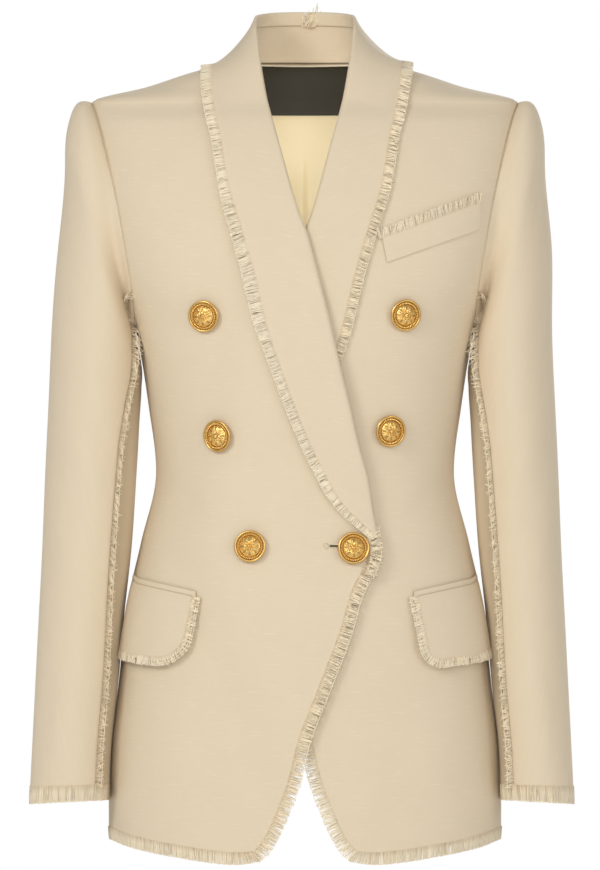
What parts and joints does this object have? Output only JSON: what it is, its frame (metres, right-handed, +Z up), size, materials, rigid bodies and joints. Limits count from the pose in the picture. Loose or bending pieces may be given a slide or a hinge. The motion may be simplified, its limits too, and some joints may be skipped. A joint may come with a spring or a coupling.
{
  "type": "double-breasted blazer",
  "caption": "Worn, hollow double-breasted blazer with a shawl collar, long two-piece sleeves, flap pockets, frayed edges and domed buttons.",
  "frame": {"origin": "centre of the neck opening at the height of the back neck seam, where the wearer's shoulders and neck hold the blazer", "axes": "+X to the wearer's left, +Y to the wearer's back, +Z up towards the wearer's head"},
  "size_m": [0.4918, 0.2408, 0.774],
  "materials": {
    "shell_cloth": "plain-woven linen-look cloth, pale beige, dry and matt with fine slubs",
    "fringe_thread": "frayed ends of the same cloth's yarns, a little lighter",
    "lining_satin": "pale yellow satin with a soft sheen",
    "label_ribbon": "bare near-black woven ribbon",
    "gold_metal": "gilt, polished on the raised parts and darker in the hollows"
  },
  "bodies": {
    "root": {"back_left": "shell_cloth", "back_lining": "lining_satin", "back_right": "shell_cloth", "breast_fringe": "fringe_thread", "breast_welt": "shell_cloth", "button_fastened": "gold_metal", "button_low_right": "gold_metal", "button_middle_left": "gold_metal", "button_middle_right": "gold_metal", "button_top_left": "gold_metal", "button_top_right": "gold_metal", "collar_stand": "shell_cloth", "collar_tuft": "fringe_thread", "cuff_fringe_left": "fringe_thread", "cuff_fringe_right": "fringe_thread", "flap_fringe_left": "fringe_thread", "flap_fringe_right": "fringe_thread", "front_edge_fringe_left": "fringe_thread", "front_edge_fringe_right": "fringe_thread", "front_left": "shell_cloth", "front_right": "shell_cloth", "hem_fringe_back_left": "fringe_thread", "hem_fringe_back_right": "fringe_thread", "hem_fringe_front_left": "fringe_thread", "hem_fringe_front_right": "fringe_thread", "hip_flap_left": "shell_cloth", "hip_flap_right": "shell_cloth", "hip_welt_left": "shell_cloth", "hip_welt_right": "shell_cloth", "lapel_fringe_left": "fringe_thread", "lapel_fringe_right": "fringe_thread", "neck_label": "label_ribbon", "shawl_collar_left": "shell_cloth", "shawl_collar_right": "shell_cloth", "sleeve_seam_fringe_left": "fringe_thread", "sleeve_seam_fringe_right": "fringe_thread", "top_sleeve_left": "shell_cloth", "top_sleeve_right": "shell_cloth", "under_sleeve_left": "shell_cloth", "under_sleeve_right": "shell_cloth"}
  },
  "joints": []
}
